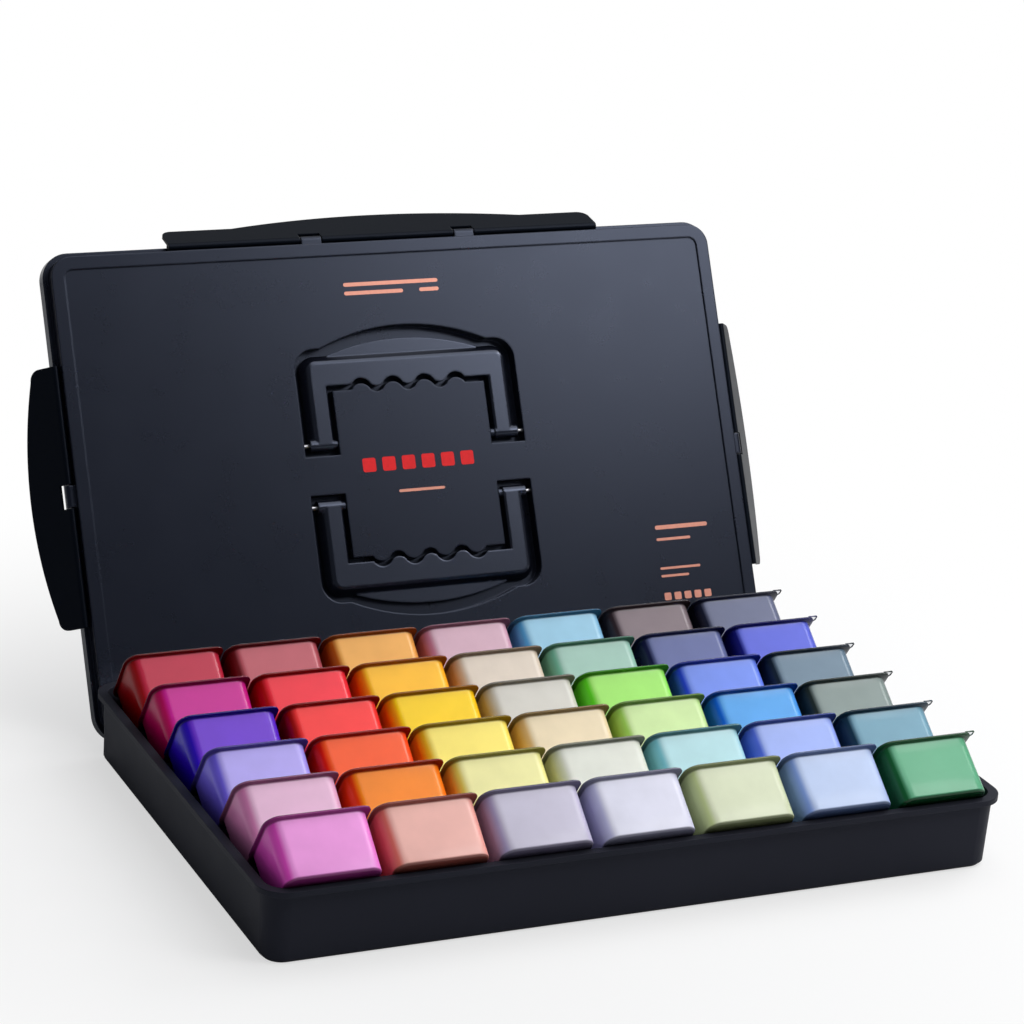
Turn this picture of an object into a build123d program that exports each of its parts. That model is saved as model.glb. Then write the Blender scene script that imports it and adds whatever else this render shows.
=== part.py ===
from build123d import *
import math
import os

# Paint box: a low tray holds rows of sealed cups of jelly paint that lean back on row rails.
# The lid is off and stands behind the tray on its lower edge, its outer face to the front. It
# carries two folding handles in pockets and snap latches on three edges.
# Millimetres. The origin is the centre of the tray's underside, +Y is towards the lid, +Z is up.

os.makedirs("parts", exist_ok=True)

# Outline shared by the tray's rim and the lid's rim
box_length = 409.0
box_width = 270.0
outline_radius = 15.0

# Tray
tray_height = 39.5
tray_wall = 2.2
tray_floor = 2.2
tray_draft = 2.0
rim_overhang = 3.0
rim_thickness = 3.0
foot_bevel = 2.0

# Row rails that the cups lean on
rail_thickness = 1.8
rail_setback = 5.0
seat_gap = 0.3

# Cups, their paint and their peel-off film. Their plan sizes come from the box they fill.
cup_rows = 6
cup_columns = 7
cup_lean = 55.0
cup_edge_height = 15.5
cup_depth = 33.7
cup_wall = 1.2
cup_draft = 1.0
cup_corner = 4.2
cup_foot_bevel = 1.6
side_room = 8.5
front_clearance = 0.6
rear_clearance = 0.6
column_gap = 1.0
row_gap = 0.9
flange_lip = 1.9
flange_thickness = 1.2
flange_corner = 4.8
paint_headroom = 2.4
film_thickness = 0.3
film_tab_reach = 4.0
film_tab_width = 7.0

# Lid
lid_height = 14.0
lid_step_height = 7.0
deck_inset = 3.0
lid_wall = 2.5
deck_thickness = 2.4
panel_border = 7.5
panel_depth = 0.8
panel_radius = 5.0
lid_lean = 27.5
lid_stand_back = 7.8
lid_stand_side = 5.4
rib_thickness = 1.6
rib_height = 5.0
rib_row_place = 100.0
rib_column_place = 110.0

# Handle pockets, measured from the middle of the lid
pocket_depth = 8.0
pocket_wall = 1.8
pocket_leg_outer = 67.3
pocket_leg_inner = 46.5
pocket_leg_end = 11.0
pocket_outer_edge = 72.0
pocket_arc_rise = 11.0
pocket_arc_half = 51.0
pocket_corner = 12.0
pocket_wave_level = 47.4

# Handles
handle_thickness = 7.5
handle_floor_gap = 0.25
handle_outer = 63.5
handle_inner = 49.5
handle_bar_outer = 68.3
handle_bar_inner = 50.5
handle_corner = 9.0
handle_bevel_width = 5.3
handle_bevel_depth = 4.0
handle_edge_bevel = 1.0
handle_tab_thickness = 3.4
handle_tab_rise = 7.7
handle_tab_half = 46.0
pivot_place = 17.5
boss_radius = 2.8
boss_gap = 0.3
handle_pin_radius = 1.25
handle_pin_bite = 1.1
pin_clearance = 0.05
pin_sides = 12

# Finger grooves of the handles, which their pockets follow
groove_count = 4
groove_pitch = 19.4
groove_width = 11.4
groove_rise = 3.3
groove_fall = 1.7

# Latches
long_latch_length = 263.0
short_latch_length = 144.0
latch_tail = 0.6
latch_thickness = 1.8
latch_corner = 6.0
latch_tab_rise = 9.5
long_tab_half = 89.0
barrel_radius = 2.2
barrel_floor_gap = 0.2
latch_side_gap = 0.4
latch_rest_angle = 37.0
latch_pin_radius = 0.8
latch_pin_setback = 3.0
lug_width = 12.0
lug_gap = 0.6
lug_place = 47.0
slot_width = 2.0
hook_depth = 2.0
hook_height = 2.0
hook_gap = 0.5

# Worked out from the sizes above
lean = math.radians(cup_lean)
draft_slope = math.tan(math.radians(tray_draft))
wall_run = (tray_height - rim_thickness) * draft_slope
base_length = box_length - 2 * rim_overhang - 2 * wall_run
base_width = box_width - 2 * rim_overhang - 2 * wall_run
base_radius = outline_radius - rim_overhang - wall_run

stack_depth = cup_depth + film_thickness
cup_growth = cup_depth * math.tan(math.radians(cup_draft))
foot_inset = flange_lip + cup_growth
film_edge_z = cup_edge_height + stack_depth * math.cos(lean) - foot_inset * math.sin(lean)
rear_inner_y = base_width / 2 + film_edge_z * draft_slope - tray_wall
front_inner_y = base_width / 2 + tray_height * draft_slope - tray_wall
rear_room = rear_clearance + stack_depth * math.sin(lean) + foot_inset * math.cos(lean)
front_room = (front_clearance + (tray_height - cup_edge_height) * math.cos(lean)) / math.sin(lean)

column_pitch = (box_length - 2 * side_room) / cup_columns
row_pitch = (rear_inner_y + front_inner_y - rear_room - front_room) / (cup_rows - 1)
flange_length = column_pitch - column_gap
flange_width = row_pitch - row_gap
mouth_length = flange_length - 2 * flange_lip
mouth_width = flange_width - 2 * flange_lip
cup_foot_length = mouth_length - 2 * cup_growth
cup_foot_width = mouth_width - 2 * cup_growth
foot_centre_z = cup_edge_height + cup_foot_width / 2 * math.sin(lean)
film_edge_run = stack_depth * math.sin(lean) + flange_width / 2 * math.cos(lean)
last_foot_y = rear_inner_y - rear_clearance - film_edge_run

lid_tilt = math.radians(lid_lean)
deck_underside = lid_height - deck_thickness
pocket_floor = lid_height - pocket_depth
handle_bottom = pocket_floor + handle_floor_gap
handle_axis_level = handle_bottom + handle_thickness / 2
barrel_level = lid_step_height + barrel_floor_gap + barrel_radius
hook_top = -rim_thickness - hook_gap
hook_foot = hook_top - hook_height
latch_reach = barrel_level - hook_foot + latch_tail
latch_outer = latch_side_gap + latch_thickness
short_tab_half = short_latch_length / 2 - latch_corner


def row_foot_y(row):
    """Y of the foot centre of a row of cups, row 1 at the front."""
    return last_foot_y - (cup_rows - row) * row_pitch


def column_x(column):
    """X of a column of cups, column 1 at the left."""
    return (column - (cup_columns + 1) / 2) * column_pitch


# Plane of the first cup's foot, its Z along the cup's axis
cup_plane = Plane(
    origin=(column_x(1), row_foot_y(1), foot_centre_z),
    x_dir=(1, 0, 0),
    z_dir=(0, math.sin(lean), math.cos(lean)),
)
cup_axis = Axis(cup_plane.origin, cup_plane.z_dir)

# Plane of the lid's rim: Y up the lid, Z out of its face, its lower edge on the ground
lid_plane = Plane(
    origin=(
        lid_stand_side,
        box_width / 2 + lid_stand_back + box_width / 2 * math.sin(lid_tilt),
        box_width / 2 * math.cos(lid_tilt),
    ),
    x_dir=(1, 0, 0),
    z_dir=(0, -math.cos(lid_tilt), math.sin(lid_tilt)),
)
lid_outward = Axis(lid_plane.origin, lid_plane.z_dir)
lower_lid_plane = Plane(lid_plane.location * Rotation(0, 0, 180))
left_lid_plane = Plane(lid_plane.location * Rotation(0, 0, 90))
right_lid_plane = Plane(lid_plane.location * Rotation(0, 0, -90))


def cut_corner_points(length, width, corner):
    """Points of a centred rectangle whose corners are cut at 45 degrees."""
    x = length / 2
    y = width / 2
    return [
        (x, y - corner),
        (x - corner, y),
        (corner - x, y),
        (-x, y - corner),
        (-x, corner - y),
        (corner - x, -y),
        (x - corner, -y),
        (x, corner - y),
    ]


def make_cup_body(inset, bottom, top):
    """A cup's drafted body between two levels, its sides set in from the cup's outer faces."""
    growth = 2 * cup_growth * bottom / cup_depth
    length = cup_foot_length + growth - 2 * inset
    width = cup_foot_width + growth - 2 * inset
    base = cup_plane.offset(bottom)
    with BuildPart() as body:
        with BuildSketch(base):
            Polygon(*cut_corner_points(length, width, cup_corner))
        extrude(amount=top - bottom)
        draft(body.faces().sort_by(cup_axis)[1:-1], base, -cup_draft)
    return body.part


def make_cup_shell():
    """Tapered cup with a bevelled foot and a flat flange round its mouth."""
    outside = make_cup_body(0, 0, cup_depth)
    inside = make_cup_body(cup_wall, cup_wall, cup_depth)
    with BuildPart() as shell:
        add(outside)
        chamfer(shell.faces().sort_by(cup_axis)[0].edges(), cup_foot_bevel)
        with BuildSketch(cup_plane.offset(cup_depth - flange_thickness)):
            Polygon(*cut_corner_points(flange_length, flange_width, flange_corner))
        extrude(amount=flange_thickness)
        add(inside, mode=Mode.SUBTRACT)
    return shell.part


def make_film(tab_reach):
    """Clear film sealed to the flange, with a pull tab at one corner where it is not tucked in."""
    x = flange_length / 2
    y = flange_width / 2
    with BuildPart() as film:
        with BuildSketch(cup_plane.offset(cup_depth)):
            Polygon(*cut_corner_points(flange_length, flange_width, flange_corner))
            if tab_reach > 0:
                with BuildLine():
                    Polyline(
                        (x - flange_corner, -y),
                        (x + tab_reach, -y),
                        (x + tab_reach, film_tab_width - y),
                        (x, film_tab_width + tab_reach - y),
                        close=True,
                    )
                make_face()
        extrude(amount=film_thickness)
    return film.part


def rail_points(row):
    """Section of a row's rail, its top sloped to lie just under the backs of the leaning cups."""
    foot_y = row_foot_y(row)
    low_y = foot_y + cup_foot_width / 2 * math.cos(lean)
    low_z = foot_centre_z - cup_foot_width / 2 * math.sin(lean)
    high_y = foot_y + cup_depth * math.sin(lean) + mouth_width / 2 * math.cos(lean)
    high_z = foot_centre_z + cup_depth * math.cos(lean) - mouth_width / 2 * math.sin(lean)
    slope = (high_z - low_z) / (high_y - low_y)
    drop = seat_gap * math.hypot(1, slope)
    front_y = foot_y + film_edge_run - rail_setback - rail_thickness / 2
    rear_y = front_y + rail_thickness
    root_z = tray_floor * 0.8
    return [
        (front_y, root_z),
        (rear_y, root_z),
        (rear_y, low_z + slope * (rear_y - low_y) - drop),
        (front_y, low_z + slope * (front_y - low_y) - drop),
    ]


def make_tray():
    """Open tray: drafted walls, a rim that overhangs them, and a rail under each row of cups."""
    inner_growth = 2 * (tray_floor * draft_slope - tray_wall)
    with BuildPart() as tray:
        with BuildSketch():
            RectangleRounded(base_length, base_width, base_radius)
        extrude(amount=tray_height - rim_thickness, taper=-tray_draft)
        chamfer(tray.faces().sort_by(Axis.Z)[0].edges(), foot_bevel)
        with BuildSketch(Plane.XY.offset(tray_height - rim_thickness)):
            RectangleRounded(box_length, box_width, outline_radius)
        extrude(amount=rim_thickness)
        with BuildSketch(Plane.XY.offset(tray_floor)):
            RectangleRounded(
                base_length + inner_growth, base_width + inner_growth, base_radius - tray_wall / 2
            )
        extrude(amount=tray_height, taper=-tray_draft, mode=Mode.SUBTRACT)
        for row in range(1, cup_rows + 1):
            with BuildSketch(Plane.YZ):
                with BuildLine():
                    Polyline(*rail_points(row), close=True)
                make_face()
            extrude(amount=base_length / 2 - tray_wall / 4, both=True)
    return tray.part


def draw_grooves(level, half_span):
    """Line along X that swings up into each finger groove and down between them."""
    first = -(groove_count - 1) / 2 * groove_pitch
    last = -first
    Line((-half_span, level), (first - groove_width / 2, level))
    for groove in range(groove_count):
        centre = first + groove * groove_pitch
        left = centre - groove_width / 2
        right = centre + groove_width / 2
        ThreePointArc((left, level), (centre, level + groove_rise), (right, level))
        if groove < groove_count - 1:
            land = centre + groove_pitch / 2
            ThreePointArc((right, level), (land, level - groove_fall), (left + groove_pitch, level))
    Line((last + groove_width / 2, level), (half_span, level))


def draw_corner(side, outer, top, radius):
    """Round corner between a side at a distance from the middle and an edge above it."""
    turn = radius * (1 - math.sqrt(0.5))
    ThreePointArc(
        (side * outer, top - radius),
        (side * (outer - turn), top - turn),
        (side * (outer - radius), top),
    )


def draw_pocket(growth):
    """U-shaped outline of a handle pocket. Grown by its wall's thickness, it is left without grooves."""
    outer = pocket_leg_outer + growth
    inner = pocket_leg_inner - growth
    leg_end = pocket_leg_end - growth
    top = pocket_outer_edge + growth
    level = pocket_wave_level - growth
    corner = pocket_corner + growth
    if growth > 0:
        level -= groove_fall
        Line((-inner, level), (inner, level))
    else:
        draw_grooves(level, inner)
    for side in (-1, 1):
        Polyline(
            (side * inner, level),
            (side * inner, leg_end),
            (side * outer, leg_end),
            (side * outer, top - corner),
        )
        draw_corner(side, outer, top, corner)
        Line((side * (outer - corner), top), (side * pocket_arc_half, top))
    ThreePointArc((-pocket_arc_half, top), (0, top + pocket_arc_rise), (pocket_arc_half, top))


def draw_pin(radius, mode=Mode.ADD):
    """Section of a pin, in a few flats because pins and bores are many and small."""
    RegularPolygon(radius, pin_sides, mode=mode)


def draw_bore(radius, mode=Mode.ADD):
    """Section of the bore round a pin, clear of the pin's corners by the pin clearance."""
    RegularPolygon(radius + pin_clearance, pin_sides, major_radius=False, mode=mode)


def handle_pin_plane(turned, side):
    """Plane across the inner end of one handle pin, facing away from the lid's middle."""
    start = (side * (pocket_leg_inner - handle_pin_bite), pivot_place, handle_axis_level)
    return Plane(
        origin=turned.from_local_coords(start),
        x_dir=turned.z_dir,
        z_dir=turned.x_dir * side,
    )


handle_pin_length = pocket_leg_outer - pocket_leg_inner + 2 * handle_pin_bite


def hinge_plane(turned, half_extent):
    """Plane at the middle of a latch's hinge: X along the edge, Y away from the lid."""
    origin = turned.from_local_coords((0, half_extent, barrel_level))
    return Plane(origin=origin, x_dir=turned.x_dir, z_dir=turned.z_dir)


top_hinge = hinge_plane(lid_plane, box_width / 2)
left_hinge = hinge_plane(left_lid_plane, box_length / 2)
right_hinge = hinge_plane(right_lid_plane, box_length / 2)
long_latch_lugs = (-lug_place, lug_place)
short_latch_lugs = (0,)


def section_plane(hinge, place):
    """Plane across a hinge at a place along it: X away from the lid, Y out of its face."""
    return Plane(origin=hinge.from_local_coords((place, 0, 0)), x_dir=hinge.y_dir, z_dir=hinge.x_dir)


def make_lid():
    """Stepped shell with a sunk panel, two handle pockets, inner ribs and lugs for the latches."""
    with BuildPart() as lid:
        with BuildSketch(lid_plane):
            RectangleRounded(box_length, box_width, outline_radius)
        extrude(amount=lid_step_height)
        with BuildSketch(lid_plane.offset(lid_step_height)):
            RectangleRounded(
                box_length - 2 * deck_inset, box_width - 2 * deck_inset, outline_radius - deck_inset
            )
        extrude(amount=lid_height - lid_step_height)
        upper_inset = deck_inset + lid_wall
        for inset, depth in ((lid_wall, lid_step_height - lid_wall), (upper_inset, deck_underside)):
            with BuildSketch(lid_plane):
                RectangleRounded(box_length - 2 * inset, box_width - 2 * inset, outline_radius - inset)
            extrude(amount=depth, mode=Mode.SUBTRACT)
        panel_inset = deck_inset + panel_border
        with BuildSketch(lid_plane.offset(lid_height)):
            RectangleRounded(box_length - 2 * panel_inset, box_width - 2 * panel_inset, panel_radius)
        extrude(amount=-panel_depth, mode=Mode.SUBTRACT)
        rib_span = lid_wall - 2 * upper_inset
        with BuildSketch(lid_plane.offset(deck_underside - rib_height)):
            with GridLocations(0, 2 * rib_row_place, 1, 2):
                Rectangle(box_length + rib_span, rib_thickness)
            with GridLocations(2 * rib_column_place, 0, 2, 1):
                Rectangle(rib_thickness, box_width + rib_span)
        extrude(amount=rib_height + deck_thickness / 4)
        for turned in (lid_plane, lower_lid_plane):
            with BuildSketch(turned.offset(pocket_floor - pocket_wall)):
                with BuildLine():
                    draw_pocket(pocket_wall)
                make_face()
        extrude(amount=pocket_depth + pocket_wall - deck_thickness / 2)
        for turned in (lid_plane, lower_lid_plane):
            with BuildSketch(turned.offset(pocket_floor)):
                with BuildLine():
                    draw_pocket(0)
                make_face()
        extrude(amount=pocket_depth, mode=Mode.SUBTRACT)
        for turned in (lid_plane, lower_lid_plane):
            for side in (-1, 1):
                with BuildSketch(handle_pin_plane(turned, side)):
                    draw_bore(handle_pin_radius)
        extrude(amount=handle_pin_length, mode=Mode.SUBTRACT)
        for hinge in (top_hinge, left_hinge, right_hinge):
            for place in long_latch_lugs if hinge is top_hinge else short_latch_lugs:
                with BuildSketch(section_plane(hinge, place)):
                    Circle(barrel_radius)
                    with Locations((-(deck_inset + lid_wall / 2) / 2, 0)):
                        Rectangle(deck_inset + lid_wall / 2, 2 * barrel_radius)
                    with Locations((-barrel_radius, -barrel_radius)):
                        Rectangle(2 * barrel_radius, 1)
                    draw_bore(latch_pin_radius, Mode.SUBTRACT)
        extrude(amount=lug_width / 2, both=True)
    return lid.part


def make_handle(turned):
    """U-shaped grip: two legs with pivot bosses, a grooved bar and a thin lifting tab."""
    outward = Axis(turned.origin, turned.z_dir)
    across = Axis(turned.origin, turned.y_dir)
    along = Axis(turned.origin, turned.x_dir)
    with BuildPart() as handle:
        with BuildSketch(turned.offset(handle_bottom)):
            with BuildLine():
                draw_grooves(handle_bar_inner, handle_inner)
                for side in (-1, 1):
                    Polyline(
                        (side * handle_inner, handle_bar_inner),
                        (side * handle_inner, pivot_place),
                        (side * handle_outer, pivot_place),
                        (side * handle_outer, handle_bar_outer - handle_corner),
                    )
                    draw_corner(side, handle_outer, handle_bar_outer, handle_corner)
                bar_end = handle_outer - handle_corner
                Line((-bar_end, handle_bar_outer), (bar_end, handle_bar_outer))
            make_face()
        extrude(amount=handle_thickness)
        top_face = handle.faces().sort_by(outward)[-1]
        back_edge = top_face.edges().filter_by(along).sort_by(across)[-1]
        chamfer(back_edge, handle_bevel_depth, handle_bevel_width, reference=top_face)
        leg_edges = handle.faces().sort_by(outward)[-1].edges().filter_by(across)
        chamfer(leg_edges, handle_edge_bevel)
        with BuildSketch(turned.offset(handle_bottom)):
            with BuildLine():
                tab_root = handle_bar_outer - handle_bevel_width
                ThreePointArc(
                    (-handle_tab_half, handle_bar_outer),
                    (0, handle_bar_outer + handle_tab_rise),
                    (handle_tab_half, handle_bar_outer),
                )
                Polyline(
                    (-handle_tab_half, handle_bar_outer),
                    (-handle_tab_half, tab_root),
                    (handle_tab_half, tab_root),
                    (handle_tab_half, handle_bar_outer),
                )
            make_face()
        extrude(amount=handle_tab_thickness)
        for side in (-1, 1):
            pin_plane = handle_pin_plane(turned, side)
            with BuildSketch(pin_plane.offset(handle_pin_bite + handle_inner - pocket_leg_inner)):
                Circle(handle_thickness / 2)
            extrude(amount=handle_outer - handle_inner)
            with BuildSketch(pin_plane.offset(handle_pin_bite + boss_gap)):
                draw_pin(boss_radius)
            extrude(amount=handle_inner - pocket_leg_inner)
            with BuildSketch(pin_plane):
                draw_bore(handle_pin_radius)
            extrude(amount=handle_pin_length, mode=Mode.SUBTRACT)
    return handle.part


def make_handle_pins(turned):
    """The two steel pins of one handle, let into both walls of the pocket."""
    with BuildPart() as pins:
        for side in (-1, 1):
            with BuildSketch(handle_pin_plane(turned, side)):
                draw_pin(handle_pin_radius)
        extrude(amount=handle_pin_length)
    return pins.part


def make_latch(hinge, length, lugs, tab_half):
    """Snap latch, part open: barrel between the lid's lugs, slotted plate, finger tab and hook."""
    opened = Plane(hinge.location * Rotation(latch_rest_angle, 0, 0))
    inner_face = Plane(
        origin=opened.from_local_coords((0, latch_side_gap, 0)),
        x_dir=opened.x_dir,
        z_dir=opened.y_dir,
    )
    end = length / 2
    cut_length = lug_width + 2 * lug_gap
    tab_top = (0, latch_reach + latch_tab_rise)
    with BuildPart() as latch:
        with BuildSketch(inner_face):
            with BuildLine():
                Line((-end, 0), (end, 0))
                for side in (-1, 1):
                    Line((side * end, 0), (side * end, latch_reach - latch_corner))
                    draw_corner(side, end, latch_reach, latch_corner)
                    if end - latch_corner > tab_half:
                        Line((side * (end - latch_corner), latch_reach), (side * tab_half, latch_reach))
                ThreePointArc((-tab_half, latch_reach), tab_top, (tab_half, latch_reach))
            make_face()
        extrude(amount=latch_thickness)
        with BuildSketch(section_plane(opened, 0)):
            Circle(barrel_radius)
        extrude(amount=end, both=True)
        with BuildSketch(section_plane(opened, 0)):
            with BuildLine():
                Polyline(
                    (latch_outer - latch_thickness / 2, hook_top - barrel_level),
                    (latch_side_gap - hook_depth, hook_top - barrel_level),
                    (latch_side_gap - hook_depth, hook_top - hook_height / 2 - barrel_level),
                    (latch_outer - latch_thickness / 2, hook_foot - barrel_level),
                    close=True,
                )
            make_face()
        extrude(amount=end - latch_corner, both=True)
        with BuildSketch(inner_face.offset(-latch_side_gap - barrel_radius)):
            for place in lugs:
                with Locations((place, slot_width / 2)):
                    Rectangle(cut_length, 2 * barrel_radius + slot_width)
        extrude(amount=3 * barrel_radius, mode=Mode.SUBTRACT)
        with BuildSketch(section_plane(opened, 0)):
            draw_bore(latch_pin_radius)
        extrude(amount=end, both=True, mode=Mode.SUBTRACT)
    return latch.part


def make_latch_pin(hinge, length):
    """Steel pin through a latch's barrel and the lid's lugs."""
    with BuildPart() as pin:
        with BuildSketch(section_plane(hinge, 0)):
            draw_pin(latch_pin_radius)
        extrude(amount=length / 2 - latch_pin_setback, both=True)
    return pin.part


def save(shape, name):
    """Write one named piece."""
    shape.label = name
    export_step(shape, f"parts/{name}.step")


save(make_tray(), "tray")
save(make_lid(), "lid")
save(make_handle(lid_plane), "handle_upper")
save(make_handle(lower_lid_plane), "handle_lower")
save(make_handle_pins(lid_plane), "handle_pins_upper")
save(make_handle_pins(lower_lid_plane), "handle_pins_lower")
save(make_latch(top_hinge, long_latch_length, long_latch_lugs, long_tab_half), "latch_top")
save(make_latch(left_hinge, short_latch_length, short_latch_lugs, short_tab_half), "latch_left")
save(make_latch(right_hinge, short_latch_length, short_latch_lugs, short_tab_half), "latch_right")
save(make_latch_pin(top_hinge, long_latch_length), "latch_pin_top")
save(make_latch_pin(left_hinge, short_latch_length), "latch_pin_left")
save(make_latch_pin(right_hinge, short_latch_length), "latch_pin_right")

cup_shell = make_cup_shell()
paint = make_cup_body(cup_wall, cup_wall, cup_depth - paint_headroom)
for column in range(1, cup_columns + 1):
    film = make_film(film_tab_reach if column == cup_columns else 0)
    for row in range(1, cup_rows + 1):
        place = Location((column_x(column) - column_x(1), row_foot_y(row) - row_foot_y(1), 0))
        cup = Compound([shape.solid().moved(place) for shape in (cup_shell, paint, film)])
        save(cup, f"paint_cup_r{row}_c{column}")
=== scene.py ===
import math
import bpy
from mathutils import Color, Matrix, Vector


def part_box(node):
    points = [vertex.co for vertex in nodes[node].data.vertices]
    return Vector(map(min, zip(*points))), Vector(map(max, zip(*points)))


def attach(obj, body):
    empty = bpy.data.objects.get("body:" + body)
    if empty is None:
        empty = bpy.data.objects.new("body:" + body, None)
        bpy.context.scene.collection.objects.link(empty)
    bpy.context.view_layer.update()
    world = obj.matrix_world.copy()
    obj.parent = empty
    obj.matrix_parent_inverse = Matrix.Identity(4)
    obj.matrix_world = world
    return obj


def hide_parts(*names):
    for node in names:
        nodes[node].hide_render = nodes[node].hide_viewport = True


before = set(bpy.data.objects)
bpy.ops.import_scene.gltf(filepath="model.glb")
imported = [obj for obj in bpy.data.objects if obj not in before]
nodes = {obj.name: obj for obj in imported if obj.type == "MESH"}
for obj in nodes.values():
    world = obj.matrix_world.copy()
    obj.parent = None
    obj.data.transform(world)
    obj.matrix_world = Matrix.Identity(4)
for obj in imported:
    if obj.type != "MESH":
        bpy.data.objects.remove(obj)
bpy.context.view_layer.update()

# Cups: sizes in metres, as in the solids
CUP_ROWS = 6
CUP_COLUMNS = 7
CUP_PITCH = 0.056
CUP_LEAN = math.radians(55)
CUP_DEPTH = 0.0337
CUP_WALL = 0.0012
CUP_CORNER = 0.0071
FOOT_HALF = (0.02501, 0.01828)
MOUTH_HALF = (0.0256, 0.01887)
FLANGE_HALF = (0.0275, 0.02077)
FLANGE_THICKNESS = 0.0012
FLANGE_CORNER = 0.0081
PEEL_CORNER = 0.0046
PAINT_HEADROOM = 0.0024
FILM_THICKNESS = 0.0003

# Cups: the scene's own small roundings, in metres
CORNER_STEPS = 9
LEAST_CORNER = 0.001
FOOT_BEVEL = 0.0011
FOOT_MARGIN = 0.004
BEVEL_STEP = 0.0001
BEVEL_BLEND = 0.0003
BEVEL_EASE = 0.0004
WALL_LEVELS = (0.010, 0.018, 0.026)
NECK_HEIGHT = 0.0012
NECK_ROUND = 0.0006
FLANGE_UNDERCUT = 0.0004
FLANGE_EDGE = 0.0003
MOUTH_EDGE = 0.0004
PAINT_CREEP = 0.0005
FILM_INSET = 0.0006
FILM_GAP = 0.00003
SHARP_ANGLE = math.radians(50)

# Pull tabs of the last column, in metres
TAB_ROOT = 0.004
TAB_REACH = 0.0020
TAB_WIDTH = 0.0052
TAB_INSET = 0.0004
TAB_CORNER = 0.0008
TAB_BEND = 0.001
TAB_FLARE = 0.0003
TAB_RIM = 0.0007
TAB_THICKNESS = FILM_THICKNESS * 2
TAB_PANE = (FILM_THICKNESS * 0.5, FILM_THICKNESS * 0.9)
TAB_LEAST_OPENING = 0.3

# Lid's panel, in metres
LID_LEAN = math.radians(27.5)
LID_CENTRE = Vector((0.0054, 0.205136, 0.119746))
PANEL_LEVEL = 0.0132
PANEL_UP = Vector((0, math.sin(LID_LEAN), math.cos(LID_LEAN)))
PANEL_OUT = Vector((0, -math.cos(LID_LEAN), math.sin(LID_LEAN)))

# The paints, front row first: name, then hue in degrees, saturation and brightness in per cent
PAINTS = (
    (("orchid", 311, 36, 95), ("salmon", 9, 28, 95), ("fog lilac", 255, 9, 84), ("pearl", 240, 7, 93),
     ("pale olive", 73, 14, 87), ("powder blue", 220, 21, 93), ("emerald", 148, 42, 68)),
    (("old rose", 322, 19, 92), ("tangerine", 30, 90, 100), ("vanilla", 56, 31, 96), ("chalk", 70, 5, 90),
     ("aqua", 188, 20, 90), ("cornflower", 226, 33, 95), ("petrol", 199, 35, 72)),
    (("lavender", 249, 30, 97), ("vermilion", 15, 84, 100), ("lemon", 51, 54, 100), ("sand", 39, 22, 94),
     ("spring green", 83, 29, 92), ("azure", 208, 62, 91), ("pine grey", 165, 9, 59)),
    (("violet", 262, 72, 82), ("scarlet", 0, 76, 100), ("canary", 49, 92, 100), ("stone", 44, 5, 83),
     ("apple green", 94, 52, 90), ("cobalt", 226, 50, 91), ("slate", 207, 26, 60)),
    (("magenta", 320, 82, 80), ("crimson", 355, 79, 97), ("apricot", 42, 83, 100), ("beige", 31, 13, 87),
     ("sage", 158, 18, 77), ("indigo", 231, 36, 61), ("ultramarine", 235, 56, 84)),
    (("cherry", 349, 76, 75), ("brick", 353, 50, 74), ("ochre", 34, 63, 93), ("dusty pink", 334, 18, 82),
     ("sky", 201, 32, 87), ("umber", 335, 11, 50), ("graphite", 230, 24, 54)),
)
# Painted shade on the cup sides: how light the sides of the deepest paints are painted, where no lamp is
# mirrored; the rest keep the usual level
USUAL_SIDE_SHADE = 0.95
SIDE_SHADES = {
    "emerald": 0.26, "petrol": 0.16, "pine grey": 0.11, "slate": 0.13, "ultramarine": 0.26,
    "graphite": 0.12, "indigo": 0.18, "umber": 0.16, "brick": 0.34, "ochre": 0.60,
    "cherry": 0.70, "scarlet": 0.55, "crimson": 0.62,
}
# Painted shade is more saturated than the lit face by this power
SHADE_POWER = 2.3
# Painted shade of the flange and foot, as shares of the shaded side colour
FLANGE_LIGHT = 0.26
FOOT_LIGHT = 0.15
# Painted light on the right wall, lit by the lamps on the right: its share of the lit face colour
RIGHT_WALL_LIGHT = 0.6
# Painted shade on the paint's surface: its share of the lit face colour, the rest from the side colour
PAINT_LIGHT = 0.35
# Where the lit face colour gives way to the sides' painted shade, by how far the outward direction points to
# the front
FACE_FROM = 0.78
FACE_FADE = 0.18


def to_linear(value):
    """sRGB level of 0 to 1 as linear light."""
    return value / 12.92 if value <= 0.04045 else ((value + 0.055) / 1.055) ** 2.4


def paint_colour(hue, saturation, brightness):
    """Linear colour of a paint under a soft light."""
    colour = Color()
    colour.hsv = (hue / 360, saturation / 100, brightness / 100)
    return tuple(to_linear(value) for value in colour)


def mix(a, b, share):
    return tuple(p + (q - p) * share for p, q in zip(a, b))


def dimmed(colour, share):
    return tuple(min(1, c * share) for c in colour)


def make_object(name, data):
    piece = bpy.data.objects.new(name, data)
    bpy.context.scene.collection.objects.link(piece)
    return piece


# Materials

NAVY_SHEEN = (0.64, 0.73, 1.0)
NOISE_RANGE = (0.3, 0.7)
EDGE_SAMPLES = 6


def new_material(name):
    """A material with a Principled shader, as (material, node maker, link maker, shader)."""
    material = bpy.data.materials.new(name)
    material.use_nodes = True
    tree = material.node_tree
    shader = tree.nodes["Principled BSDF"]
    return material, tree.nodes.new, tree.links.new, shader


def add_noise(new, link, scale, detail, roughness=0.5):
    """Noise in object space at a scale per metre."""
    place = new("ShaderNodeTexCoord")
    noise = new("ShaderNodeTexNoise")
    noise.inputs["Scale"].default_value = scale
    noise.inputs["Detail"].default_value = detail
    noise.inputs["Roughness"].default_value = roughness
    link(place.outputs["Object"], noise.inputs["Vector"])
    return noise.outputs["Fac"]


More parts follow.
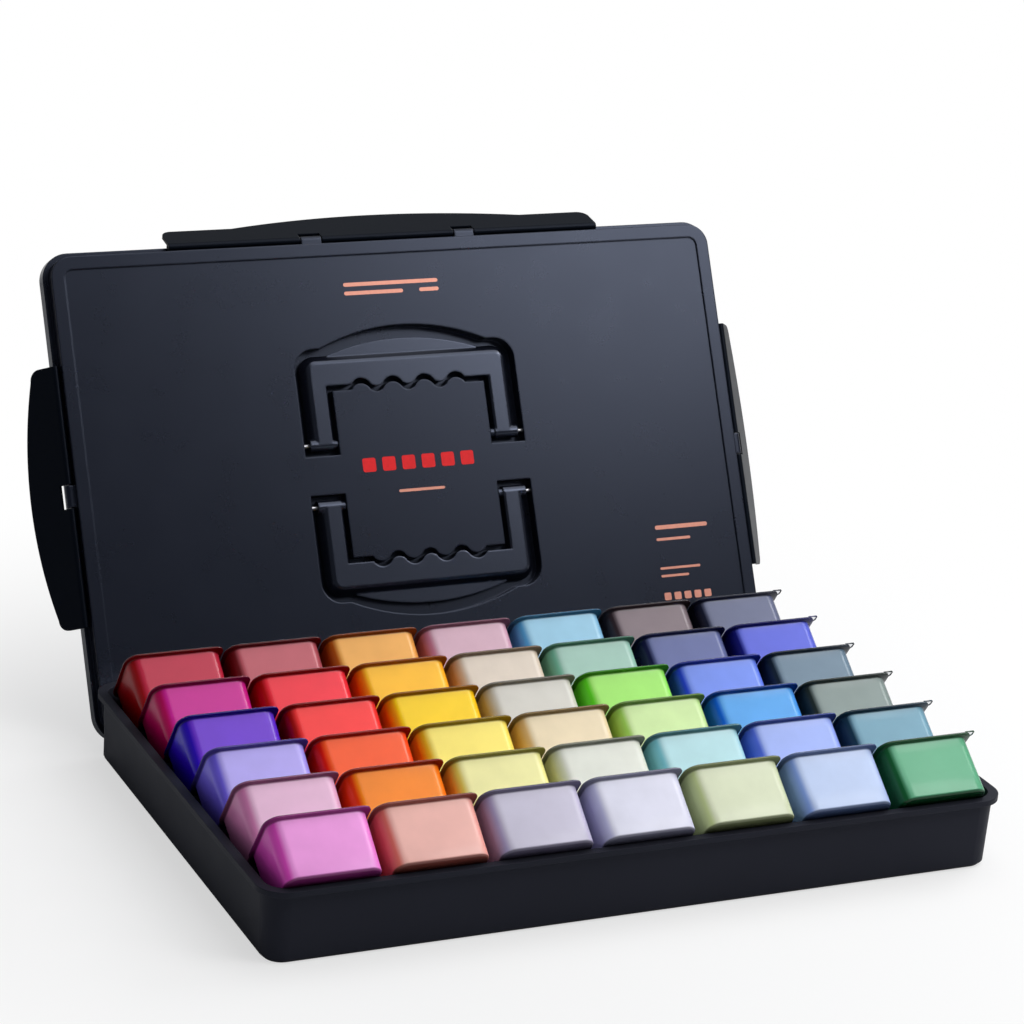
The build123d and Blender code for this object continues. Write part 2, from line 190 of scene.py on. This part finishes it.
def add_range(new, link, source, start, end, low=0.0, high=1.0, smooth_step=False):
    """Maps the stretch of a value from start to end onto low to high."""
    stretch = new("ShaderNodeMapRange")
    if smooth_step:
        stretch.interpolation_type = "SMOOTHSTEP"
    stretch.inputs["From Min"].default_value = start
    stretch.inputs["From Max"].default_value = end
    stretch.inputs["To Min"].default_value = low
    stretch.inputs["To Max"].default_value = high
    link(source, stretch.inputs["Value"])
    return stretch.outputs["Result"]


def add_roughness(new, link, noise, shader, low, high):
    """Lets the roughness wander between two levels."""
    link(add_range(new, link, noise, *NOISE_RANGE, low, high), shader.inputs["Roughness"])


def add_shades(new, link, noise, shader, dark, light):
    """Lets the base colour wander between two shades."""
    shade = new("ShaderNodeMix")
    shade.data_type = "RGBA"
    shade.inputs["A"].default_value = (*dark, 1)
    shade.inputs["B"].default_value = (*light, 1)
    link(noise, shade.inputs["Factor"])
    link(shade.outputs["Result"], shader.inputs["Base Color"])


def add_bump(new, link, height, shader, distance, strength, normal=None):
    bump = new("ShaderNodeBump")
    bump.inputs["Distance"].default_value = distance
    bump.inputs["Strength"].default_value = strength
    link(height, bump.inputs["Height"])
    if normal is not None:
        link(normal, bump.inputs["Normal"])
    link(bump.outputs["Normal"], shader.inputs["Normal"])


def black_plastic(name, colour, roughness, specular, grain, edge):
    """Moulded satin plastic: soft edges, faint clouds, slightly polished patches and a fine grain."""
    material, new, link, shader = new_material(name)
    cloud = add_noise(new, link, scale=14, detail=4)
    add_shades(new, link, cloud, shader, dimmed(colour, 0.86), dimmed(colour, 1.14))
    polish = add_noise(new, link, scale=38, detail=5, roughness=0.6)
    add_roughness(new, link, polish, shader, roughness * 0.96, roughness * 1.04)
    pits = add_noise(new, link, scale=grain, detail=2)
    soft_edge = new("ShaderNodeBevel")
    soft_edge.samples = EDGE_SAMPLES
    soft_edge.inputs["Radius"].default_value = edge
    add_bump(new, link, pits, shader, distance=0.00003, strength=0.05, normal=soft_edge.outputs["Normal"])
    shader.inputs["Specular IOR Level"].default_value = specular
    shader.inputs["Specular Tint"].default_value = (*NAVY_SHEEN, 1)
    return material


def drawn_steel():
    """Bare steel wire of the pins."""
    material, new, link, shader = new_material("pin_steel")
    drawn = add_noise(new, link, scale=900, detail=3)
    shader.inputs["Base Color"].default_value = (0.36, 0.36, 0.38, 1)
    shader.inputs["Metallic"].default_value = 1
    add_roughness(new, link, drawn, shader, 0.25, 0.4)
    add_bump(new, link, drawn, shader, distance=0.00002, strength=0.3)
    return material


def tinted(name, roughness, specular, cloudiness, scale, coat):
    """Material that takes its colour from the piece's tone attribute, which holds the lit colours and
    painted shade, with faint clouds and waves.
    """
    material, new, link, shader = new_material(name)
    tone = new("ShaderNodeAttribute")
    tone.attribute_name = "tone"
    cloud = add_noise(new, link, scale=scale, detail=3)
    level = new("ShaderNodeHueSaturation")
    link(add_range(new, link, cloud, *NOISE_RANGE, 1 - cloudiness, 1 + cloudiness), level.inputs["Value"])
    link(tone.outputs["Color"], level.inputs["Color"])
    link(level.outputs["Color"], shader.inputs["Base Color"])
    wave = add_noise(new, link, scale=120, detail=2)
    add_roughness(new, link, wave, shader, roughness * 0.88, roughness * 1.12)
    add_bump(new, link, wave, shader, distance=0.0001, strength=0.2)
    shader.inputs["Specular IOR Level"].default_value = specular
    shader.inputs["Coat Weight"].default_value = coat
    shader.inputs["Coat Roughness"].default_value = 0.12
    return material


def clear_film():
    """Clear peel-off film with fine wrinkles."""
    material, new, link, shader = new_material("clear_film")
    wrinkle = add_noise(new, link, scale=260, detail=3)
    shader.inputs["Base Color"].default_value = (0.93, 0.95, 0.97, 1)
    shader.inputs["Transmission Weight"].default_value = 0.9
    shader.inputs["IOR"].default_value = 1.3
    add_roughness(new, link, wrinkle, shader, 0.08, 0.2)
    add_bump(new, link, wrinkle, shader, distance=0.0002, strength=0.3)
    return material


def flat_print(name, colour, metallic, roughness):
    """Thin opaque print, faintly worn and uneven."""
    material, new, link, shader = new_material(name)
    worn = add_noise(new, link, scale=420, detail=4, roughness=0.6)
    add_shades(new, link, worn, shader, dimmed(colour, 0.8), dimmed(colour, 1.12))
    add_roughness(new, link, worn, shader, roughness * 0.85, roughness * 1.15)
    add_bump(new, link, worn, shader, distance=0.00002, strength=0.3)
    shader.inputs["Metallic"].default_value = metallic
    shader.inputs["Specular IOR Level"].default_value = 0.2
    return material


TRAY_PLASTIC = black_plastic(
    "tray_plastic", (0.0160, 0.0166, 0.0232), roughness=0.50, specular=0.12, grain=2200, edge=0.0008)
LID_PLASTIC = black_plastic(
    "lid_plastic", (0.0042, 0.0052, 0.0100), roughness=0.28, specular=0.40, grain=2600, edge=0.0011)
HANDLE_PLASTIC = black_plastic(
    "handle_plastic", (0.0046, 0.0054, 0.0098), roughness=0.26, specular=0.70, grain=1800, edge=0.0011)
LATCH_PLASTIC = black_plastic(
    "latch_plastic", (0.0024, 0.0036, 0.0064), roughness=0.34, specular=0.09, grain=2000, edge=0.0009)
PIN_STEEL = drawn_steel()
SHELL = tinted("cup_plastic", roughness=0.22, specular=0.26, cloudiness=0.04, scale=60, coat=0.0)
PAINT = tinted("jelly_paint", roughness=0.25, specular=0.5, cloudiness=0.06, scale=90, coat=0.6)
FILM = clear_film()
CUP_MATERIALS = (SHELL, PAINT, FILM)
SHELL_SLOT, PAINT_SLOT, FILM_SLOT = range(3)
ROSE_GOLD = flat_print("rose_gold_print", (0.62, 0.27, 0.20), metallic=0.5, roughness=0.42)
RED_INK = flat_print("red_print", (0.80, 0.012, 0.016), metallic=0.0, roughness=0.45)


# CAD pieces with softened edges

EDGE_ANGLE = math.radians(28)


def soften(node, width):
    """Rounds a solid's sharp edges a little and evens the shading of its flat faces."""
    piece = nodes[node]
    piece.data.polygons.foreach_set("use_smooth", [True] * len(piece.data.polygons))
    bevel = piece.modifiers.new("edges", "BEVEL")
    bevel.width = width
    bevel.segments = 2
    bevel.limit_method = "ANGLE"
    bevel.angle_limit = EDGE_ANGLE
    bevel.harden_normals = True
    even = piece.modifiers.new("normals", "WEIGHTED_NORMAL")
    even.keep_sharp = True


def assign(node, material):
    for slot in nodes[node].material_slots:
        slot.material = material
    if not nodes[node].material_slots:
        nodes[node].data.materials.append(material)


for node, material, width in (
    ("tray", TRAY_PLASTIC, 0.0004),
    ("lid", LID_PLASTIC, 0.0003),
    ("handle_upper", HANDLE_PLASTIC, 0.0005),
    ("handle_lower", HANDLE_PLASTIC, 0.0005),
    ("latch_top", LATCH_PLASTIC, 0.0004),
    ("latch_left", LATCH_PLASTIC, 0.0004),
    ("latch_right", LATCH_PLASTIC, 0.0004),
):
    assign(node, material)
    soften(node, width)
for node in ("handle_pins_upper", "handle_pins_lower", "latch_pin_top", "latch_pin_left", "latch_pin_right"):
    assign(node, PIN_STEEL)


# Cups

def rounded_outline(half, radius, steps, peel_radius=None):
    """Points of a rounded rectangle, each with the outward direction there.

    The corner where the film is peeled, at the upper right, may have a radius of its own.
    """
    points = []
    for corner, (side_x, side_y) in enumerate(((1, 1), (-1, 1), (-1, -1), (1, -1))):
        bend = radius if peel_radius is None or corner < 3 else peel_radius
        for step in range(steps + 1):
            turn = math.pi / 2 * (corner + step / steps)
            out_x = math.cos(turn)
            out_y = math.sin(turn)
            x = side_x * (half[0] - bend) + bend * out_x
            y = side_y * (half[1] - bend) + bend * out_y
            points.append((x, y, out_x, out_y))
    return points


def wall_half(level):
    """Half length and half width of the cup's outside at a level above its foot."""
    share = level / CUP_DEPTH
    return tuple(foot + (mouth - foot) * share for foot, mouth in zip(FOOT_HALF, MOUTH_HALF))


def shrink(half, amount):
    return (half[0] - amount, half[1] - amount)


def smooth(share):
    share = min(1, max(0, share))
    return share * share * (3 - 2 * share)


def plain(colour):
    """The same tone in every direction."""
    return lambda out_x, out_y: colour


class CupMesh:
    """Collects rings of points, their tones and the faces between them."""

    def __init__(self):
        self.points = []
        self.tones = []
        self.faces = []
        self.slots = []

    def ring(self, level, half, radius, tone, peel_radius=None):
        """Adds one ring; tone gives the colour for an outward direction."""
        first = len(self.points)
        for x, y, out_x, out_y in rounded_outline(half, radius, CORNER_STEPS, peel_radius):
            self.points.append((x, y, level))
            self.tones.append(tone(out_x, out_y))
        return first

    def loop(self, level, outline, tone):
        """Adds the points of a free outline."""
        first = len(self.points)
        for x, y in outline:
            self.points.append((x, y, level))
            self.tones.append(tone)
        return first

    def join(self, low, high, slot, count=4 * (CORNER_STEPS + 1)):
        """Adds the faces between two rings or loops."""
        for i in range(count):
            j = (i + 1) % count
            self.faces.append((low + i, low + j, high + j, high + i))
            self.slots.append(slot)

    def cap(self, first, slot, upward, count=4 * (CORNER_STEPS + 1)):
        """Closes a ring or loop with one face."""
        face = list(range(first, first + count))
        self.faces.append(face if upward else face[::-1])
        self.slots.append(slot)

    def join_all(self, rings, slot):
        for low, high in zip(rings, rings[1:]):
            self.join(low, high, slot)


def cup_tones(face, side_shade):
    """Painted shade of a cup: its side, flange and foot colours, darker and more saturated than the lit
    face; the deeper the paint, the darker its painted shade.
    """
    peak = max(face)
    shaded = tuple((c / peak) ** SHADE_POWER * peak for c in face)
    rim_shade = math.sqrt(side_shade / USUAL_SIDE_SHADE)
    return dimmed(shaded, side_shade), dimmed(shaded, FLANGE_LIGHT * rim_shade), dimmed(shaded, FOOT_LIGHT * rim_shade)


def add_shell(cup, face, side, flange, foot):
    """The cup itself: flat foot with a bevel, drafted wall, flange with rounded edges, and the mouth."""

    # The wall's painted light and shade: the lit face colour at the front, fading into the sides' painted
    # shade, which is painted lighter on the right wall
    def wall_tone(out_x, out_y):
        away = mix(side, face, RIGHT_WALL_LIGHT) if out_x > 0 else side
        return mix(away, face, smooth((-out_y - FACE_FROM) / FACE_FADE))

    # The foot and its bevel carry the foot's painted shade, blending into the wall's painted light and shade
    rings = [cup.ring(0, shrink(wall_half(0), FOOT_BEVEL + FOOT_MARGIN), LEAST_CORNER, plain(foot))]
    # Level, inset and how much of the wall's tone is reached, from the foot up
    for level, inset, share in (
        (0.0, FOOT_BEVEL + BEVEL_BLEND, 0.0),
        (BEVEL_STEP, FOOT_BEVEL - BEVEL_STEP, 0.0),
        (BEVEL_EASE, FOOT_BEVEL - BEVEL_EASE, 0.1),
        (FOOT_BEVEL - BEVEL_EASE, BEVEL_EASE, 0.12),
        (FOOT_BEVEL - BEVEL_STEP, BEVEL_STEP * 1.5, 0.55),
        (FOOT_BEVEL + BEVEL_BLEND, 0.0, 1.0),
    ):

        def bevel_tone(out_x, out_y, share=share):
            return mix(foot, wall_tone(out_x, out_y), share)

        rings.append(cup.ring(level, shrink(wall_half(level), inset), CUP_CORNER - inset, bevel_tone))
    top = CUP_DEPTH - FLANGE_THICKNESS
    for level in (*WALL_LEVELS, top - NECK_HEIGHT):
        rings.append(cup.ring(level, wall_half(level), CUP_CORNER, wall_tone))

    # The neck, flange and mouth carry the flange's painted shade
    flange_tone = plain(flange)
    mouth = shrink(MOUTH_HALF, CUP_WALL)
    mouth_corner = CUP_CORNER - CUP_WALL
    paint_level = CUP_DEPTH - PAINT_HEADROOM
    # Level, half sizes, corner and the peel corner where it differs, from the neck over the flange inwards
    for level, half, corner, peel in (
        (top - FLANGE_EDGE, shrink(wall_half(top), -NECK_ROUND / 3), CUP_CORNER + NECK_ROUND / 3, None),
        (top, shrink(wall_half(top), -NECK_ROUND), CUP_CORNER + NECK_ROUND, None),
        (top, shrink(FLANGE_HALF, FLANGE_UNDERCUT), FLANGE_CORNER - FLANGE_UNDERCUT, PEEL_CORNER),
        (top + FLANGE_EDGE, FLANGE_HALF, FLANGE_CORNER, PEEL_CORNER),
        (CUP_DEPTH - FLANGE_EDGE, FLANGE_HALF, FLANGE_CORNER, PEEL_CORNER),
        (CUP_DEPTH, shrink(FLANGE_HALF, FLANGE_EDGE), FLANGE_CORNER - FLANGE_EDGE, PEEL_CORNER),
        (CUP_DEPTH, shrink(mouth, -MOUTH_EDGE), mouth_corner + MOUTH_EDGE, None),
        (CUP_DEPTH - MOUTH_EDGE, mouth, mouth_corner, None),
        (paint_level + PAINT_CREEP, shrink(wall_half(paint_level), CUP_WALL), mouth_corner, None),
    ):
        rings.append(cup.ring(level, half, corner, flange_tone, peel))
    cup.join_all(rings, SHELL_SLOT)
    cup.cap(rings[0], SHELL_SLOT, upward=False)


def add_paint(cup, tone):
    """Surface of the paint: it creeps up the wall and sags a little inside it."""
    level = CUP_DEPTH - PAINT_HEADROOM
    half = shrink(wall_half(level), CUP_WALL)
    surface = []
    # Inset from the wall and rise over the paint's level
    for inset, rise in ((0.0, PAINT_CREEP), (0.0008, -0.0001), (0.003, -0.0002), (0.008, 0.0)):
        corner = max(LEAST_CORNER, CUP_CORNER - CUP_WALL - inset)
        surface.append(cup.ring(level + rise, shrink(half, inset), corner, plain(tone)))
    cup.join_all(surface, PAINT_SLOT)
    cup.cap(surface[-1], PAINT_SLOT, upward=True)


def add_film(cup, tone):
    """Clear film over the flange."""
    half = shrink(FLANGE_HALF, FILM_INSET)
    corner = FLANGE_CORNER - FILM_INSET
    low = cup.ring(CUP_DEPTH + FILM_GAP, half, corner, plain(tone), PEEL_CORNER)
    high = cup.ring(CUP_DEPTH + FILM_THICKNESS, half, corner, plain(tone), PEEL_CORNER)
    cup.join(low, high, FILM_SLOT)
    cup.cap(low, FILM_SLOT, upward=False)
    cup.cap(high, FILM_SLOT, upward=True)


def add_tab(cup, tone):
    """Pull tab at the cup's upper right corner: a small clear pane in a folded dark rim."""
    x = FLANGE_HALF[0]
    y = -FLANGE_HALF[1]
    outline = (
        (x - TAB_ROOT, y + TAB_INSET),
        (x + TAB_REACH - TAB_CORNER, y + TAB_INSET),
        (x + TAB_REACH, y + TAB_INSET + TAB_CORNER),
        (x + TAB_REACH, y + TAB_WIDTH - TAB_BEND),
        (x + TAB_REACH - TAB_BEND, y + TAB_WIDTH + TAB_FLARE),
        (x - TAB_INSET, y + TAB_WIDTH + TAB_REACH),
    )
    count = len(outline)
    middle = Vector([sum(values) / count for values in zip(*outline)])
    opening = []
    for point in outline:
        away = Vector(point) - middle
        opening.append(middle + away * max(TAB_LEAST_OPENING, 1 - TAB_RIM / away.length))
    low = CUP_DEPTH + FILM_GAP
    high = CUP_DEPTH + TAB_THICKNESS
    # The rim takes the flange's painted shade
    rim = [
        cup.loop(level, edge, tone)
        for level, edge in ((low, outline), (high, outline), (high, opening), (low, opening))
    ]
    for loop, following in zip(rim, rim[1:] + rim[:1]):
        cup.join(loop, following, SHELL_SLOT, count)
    under, over = [cup.loop(CUP_DEPTH + rise, opening, tone) for rise in TAB_PANE]
    cup.cap(under, FILM_SLOT, upward=False, count=count)
    cup.cap(over, FILM_SLOT, upward=True, count=count)
    cup.join(under, over, FILM_SLOT, count)


def cup_foot(node, column):
    """Middle of the cup's foot, found from the CAD cup's box."""
    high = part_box(node)[1]
    reach = CUP_DEPTH + FILM_THICKNESS
    return Vector((
        (column - (CUP_COLUMNS + 1) / 2) * CUP_PITCH,
        high.y - reach * math.sin(CUP_LEAN) - FLANGE_HALF[1] * math.cos(CUP_LEAN),
        high.z - reach * math.cos(CUP_LEAN) - FLANGE_HALF[1] * math.sin(CUP_LEAN),
    ))


def make_cup(row, column):
    """One cup of paint: shell, paint and film, and a pull tab in the last column."""
    node = f"paint_cup_r{row}_c{column}"
    paint_name, *paint = PAINTS[row - 1][column - 1]
    face = paint_colour(*paint)
    # The face keeps the paint's lit colour; the side, flange and foot colours are painted shade
    side, flange, foot_colour = cup_tones(face, SIDE_SHADES.get(paint_name, USUAL_SIDE_SHADE))
    cup = CupMesh()
    add_shell(cup, face, side, flange, foot_colour)
    # The paint's surface gets painted shade: a mix of the side and the lit face colour
    add_paint(cup, mix(side, face, PAINT_LIGHT))
    add_film(cup, flange)
    if column == CUP_COLUMNS:
        add_tab(cup, flange)

    foot = cup_foot(node, column)
    lean = Matrix.Rotation(-CUP_LEAN, 3, "X")
    mesh = bpy.data.meshes.new(f"cup_r{row}_c{column}")
    mesh.from_pydata([lean @ Vector(point) + foot for point in cup.points], [], cup.faces)
    mesh.polygons.foreach_set("use_smooth", [True] * len(mesh.polygons))
    mesh.polygons.foreach_set("material_index", cup.slots)
    tone = mesh.attributes.new("tone", "FLOAT_COLOR", "POINT")
    for i, colour in enumerate(cup.tones):
        tone.data[i].color = (*colour, 1)
    mesh.set_sharp_from_angle(angle=SHARP_ANGLE)
    for material in CUP_MATERIALS:
        mesh.materials.append(material)
    mesh.update()
    piece = make_object(f"cup_r{row}_c{column}", mesh)
    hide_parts(node)
    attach(piece, node)


for row in range(1, CUP_ROWS + 1):
    for column in range(1, CUP_COLUMNS + 1):
        make_cup(row, column)


# Printed decor of the lid: plain bars and squares in rose gold and red, without any wording

PRINT_GAP = 0.00004
PRINT_THICKNESS = 0.00006
PRINT_STEPS = 4
ROUNDING_SLACK = 0.00001


def on_panel(along, up, above):
    """Point over the lid's panel from distances along and up it from its middle."""
    return LID_CENTRE + Vector((along, 0, 0)) + PANEL_UP * up + PANEL_OUT * (PANEL_LEVEL + above)


def patch(along, up, half, radius):
    """Outline of a small rounded rectangle on the panel."""
    return [(along + x, up + y) for x, y, *outward in rounded_outline(half, radius, PRINT_STEPS)]


def bar(left, right, up, height):
    half = ((right - left) / 2, height / 2)
    return patch((left + right) / 2, up, half, height / 2 - ROUNDING_SLACK)


def square_row(left, up, pitch, half, radius, count):
    return [patch(left + pitch * i, up, (half, half), radius) for i in range(count)]


def make_print(name, patches, material):
    """Thin printed shapes on the panel, each an outline in the panel's own plane."""
    points = []
    faces = []
    for outline in patches:
        count = len(outline)
        first = len(points)
        points += [on_panel(x, y, PRINT_GAP) for x, y in outline]
        points += [on_panel(x, y, PRINT_GAP + PRINT_THICKNESS) for x, y in outline]
        faces.append([first + count + i for i in range(count)])
        for i in range(count):
            j = (i + 1) % count
            faces.append((first + i, first + j, first + count + j, first + count + i))
    mesh = bpy.data.meshes.new(name)
    mesh.from_pydata(points, [], faces)
    mesh.materials.append(material)
    mesh.update()
    piece = make_object(name, mesh)
    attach(piece, "lid")


make_print("print_top_bars", [
    bar(left=-0.032, right=0.026, up=0.1075, height=0.0022),
    bar(left=-0.032, right=0.004, up=0.1025, height=0.0022),
    patch(along=0.020, up=0.1025, half=(0.006, 0.0011), radius=0.00105),
], ROSE_GOLD)
make_print("print_red_squares", square_row(
    left=-0.030, up=0.004, pitch=0.012, half=0.0040, radius=0.0012, count=6), RED_INK)
make_print("print_middle_bar", [bar(left=-0.014, right=0.014, up=-0.012, height=0.0016)], ROSE_GOLD)
make_print("print_corner_bars", [
    bar(left=0.142, right=0.176, up=-0.046, height=0.0024),
    bar(left=0.142, right=0.164, up=-0.053, height=0.0016),
    bar(left=0.142, right=0.168, up=-0.0700, height=0.0014),
    bar(left=0.142, right=0.160, up=-0.0745, height=0.0014),
] + square_row(left=0.1445, up=-0.0865, pitch=0.0065, half=0.0022, radius=0.0008, count=5), ROSE_GOLD)


# Floor and light

FLOOR_HALF = 6
FLOOR_COLOUR = (0.82, 0.82, 0.82, 1)
# Distances from the object, in metres, over which the floor turns white in mirror images and to the eye
FLOOR_MIRROR_FADE = (0.9, 2.2)
FLOOR_SIGHT_FADE = (0.2, 0.55)
NEAR_WHITE = 0.6
ROOM_COLOUR = (0.90, 0.94, 1.0, 1)
ROOM_LEVEL = 0.14
BACKDROP_LEVEL = 0.36
# Share of a direction that points away from the camera's side, over which the room brightens or turns white
BACKDROP_FADE = (-0.2, 0.75)
BACKDROP_WHITE_FADE = (0.86, 0.98)


def add_math(new, link, operation, first, second):
    node = new("ShaderNodeMath")
    node.operation = operation
    link(first, node.inputs[0])
    link(second, node.inputs[1])
    return node.outputs["Value"]


def add_white_share(new, link, mirrored_white):
    """How white a place is: fully for the eye and through film, and as given in mirror images."""
    path = new("ShaderNodeLightPath")
    seen = add_math(new, link, "MAXIMUM", path.outputs["Is Camera Ray"], path.outputs["Is Transmission Ray"])
    mirrored = add_math(new, link, "MULTIPLY", mirrored_white, path.outputs["Is Glossy Ray"])
    return add_math(new, link, "MAXIMUM", seen, mirrored)


def add_blend(new, link, share, first, second, output):
    """Blends two shaders into the output."""
    blend = new("ShaderNodeMixShader")
    link(share, blend.inputs["Fac"])
    link(first, blend.inputs[1])
    link(second, blend.inputs[2])
    link(blend.outputs["Shader"], output.inputs["Surface"])


def make_floor():
    """Pale floor that fades to white away from the object and keeps its shadow."""
    mesh = bpy.data.meshes.new("floor")
    corners = [(x * FLOOR_HALF, y * FLOOR_HALF, 0) for x, y in ((-1, -1), (1, -1), (1, 1), (-1, 1))]
    mesh.from_pydata(corners, [], [(0, 1, 2, 3)])
    floor = make_object("floor", mesh)
    material, new, link, shader = new_material("floor_paper")
    shader.inputs["Base Color"].default_value = FLOOR_COLOUR
    shader.inputs["Roughness"].default_value = 0.8
    shader.inputs["Specular IOR Level"].default_value = 0.1
    glow = new("ShaderNodeEmission")
    place = new("ShaderNodeTexCoord")
    distance = new("ShaderNodeVectorMath")
    distance.operation = "LENGTH"
    link(place.outputs["Object"], distance.inputs[0])
    away = distance.outputs["Value"]
    far = add_range(new, link, away, *FLOOR_MIRROR_FADE, smooth_step=True)
    fade = add_range(new, link, away, *FLOOR_SIGHT_FADE, NEAR_WHITE, 1.0, smooth_step=True)
    share = add_math(new, link, "MULTIPLY", fade, add_white_share(new, link, far))
    output = material.node_tree.nodes["Material Output"]
    add_blend(new, link, share, shader.outputs["BSDF"], glow.outputs["Emission"], output)
    mesh.materials.append(material)


def make_world():
    """White to the eye; as light and in reflections a bright backdrop in a dim room."""
    world = bpy.data.worlds.new("studio")
    bpy.context.scene.world = world
    world.use_nodes = True
    tree = world.node_tree
    new = tree.nodes.new
    link = tree.links.new
    room = tree.nodes["Background"]
    room.inputs["Color"].default_value = ROOM_COLOUR
    place = new("ShaderNodeTexCoord")
    parts = new("ShaderNodeSeparateXYZ")
    link(place.outputs["Generated"], parts.inputs["Vector"])
    away = parts.outputs["Y"]
    level = add_range(new, link, away, *BACKDROP_FADE, ROOM_LEVEL, BACKDROP_LEVEL, smooth_step=True)
    link(level, room.inputs["Strength"])
    white = new("ShaderNodeBackground")
    white.inputs["Color"].default_value = (1, 1, 1, 1)
    white.inputs["Strength"].default_value = 1
    behind = add_range(new, link, away, *BACKDROP_WHITE_FADE, smooth_step=True)
    share = add_white_share(new, link, behind)
    output = tree.nodes["World Output"]
    add_blend(new, link, share, room.outputs["Background"], white.outputs["Background"], output)


def make_lamp(name, place, target, size, power):
    """Soft rectangular lamp that faces a target."""
    data = bpy.data.lights.new(name, "AREA")
    data.shape = "RECTANGLE"
    data.size, data.size_y = size
    data.energy = power
    lamp = make_object(name, data)
    lamp.location = place
    lamp.rotation_euler = (Vector(place) - Vector(target)).to_track_quat("Z", "Y").to_euler()


make_floor()
make_world()
make_lamp("key_softbox", place=(0.50, -0.10, 1.30), target=(0, -0.02, 0.05), size=(1.5, 1.5), power=14.6)
make_lamp("side_softbox", place=(0.98, -0.82, 1.39), target=(0, 0.20, 0.12), size=(0.75, 0.75), power=9.5)
make_lamp("edge_softbox", place=(0.98, 0.24, 0.84), target=(0, 0, 0.05), size=(0.8, 0.2), power=4.0)


# Camera from the photograph

CAMERA_PLACE = Vector((-0.74015, -1.50884, 0.75253))
CAMERA_RIGHT = Vector((0.91148, -0.40627, 0.06439))
CAMERA_UP = Vector((0.07909, 0.3267, 0.94181))
CAMERA_BACK = Vector((-0.40367, -0.85335, 0.32991))
CAMERA_LENS = 121.725
SENSOR_WIDTH = 36

camera_data = bpy.data.cameras.new("camera")
camera_data.sensor_width = SENSOR_WIDTH
camera_data.lens = CAMERA_LENS
camera = make_object("camera", camera_data)
axes = Matrix((CAMERA_RIGHT, CAMERA_UP, CAMERA_BACK)).transposed().to_4x4()
camera.matrix_world = Matrix.Translation(CAMERA_PLACE) @ axes
bpy.context.scene.camera = camera
bpy.context.scene.view_settings.view_transform = "Standard"
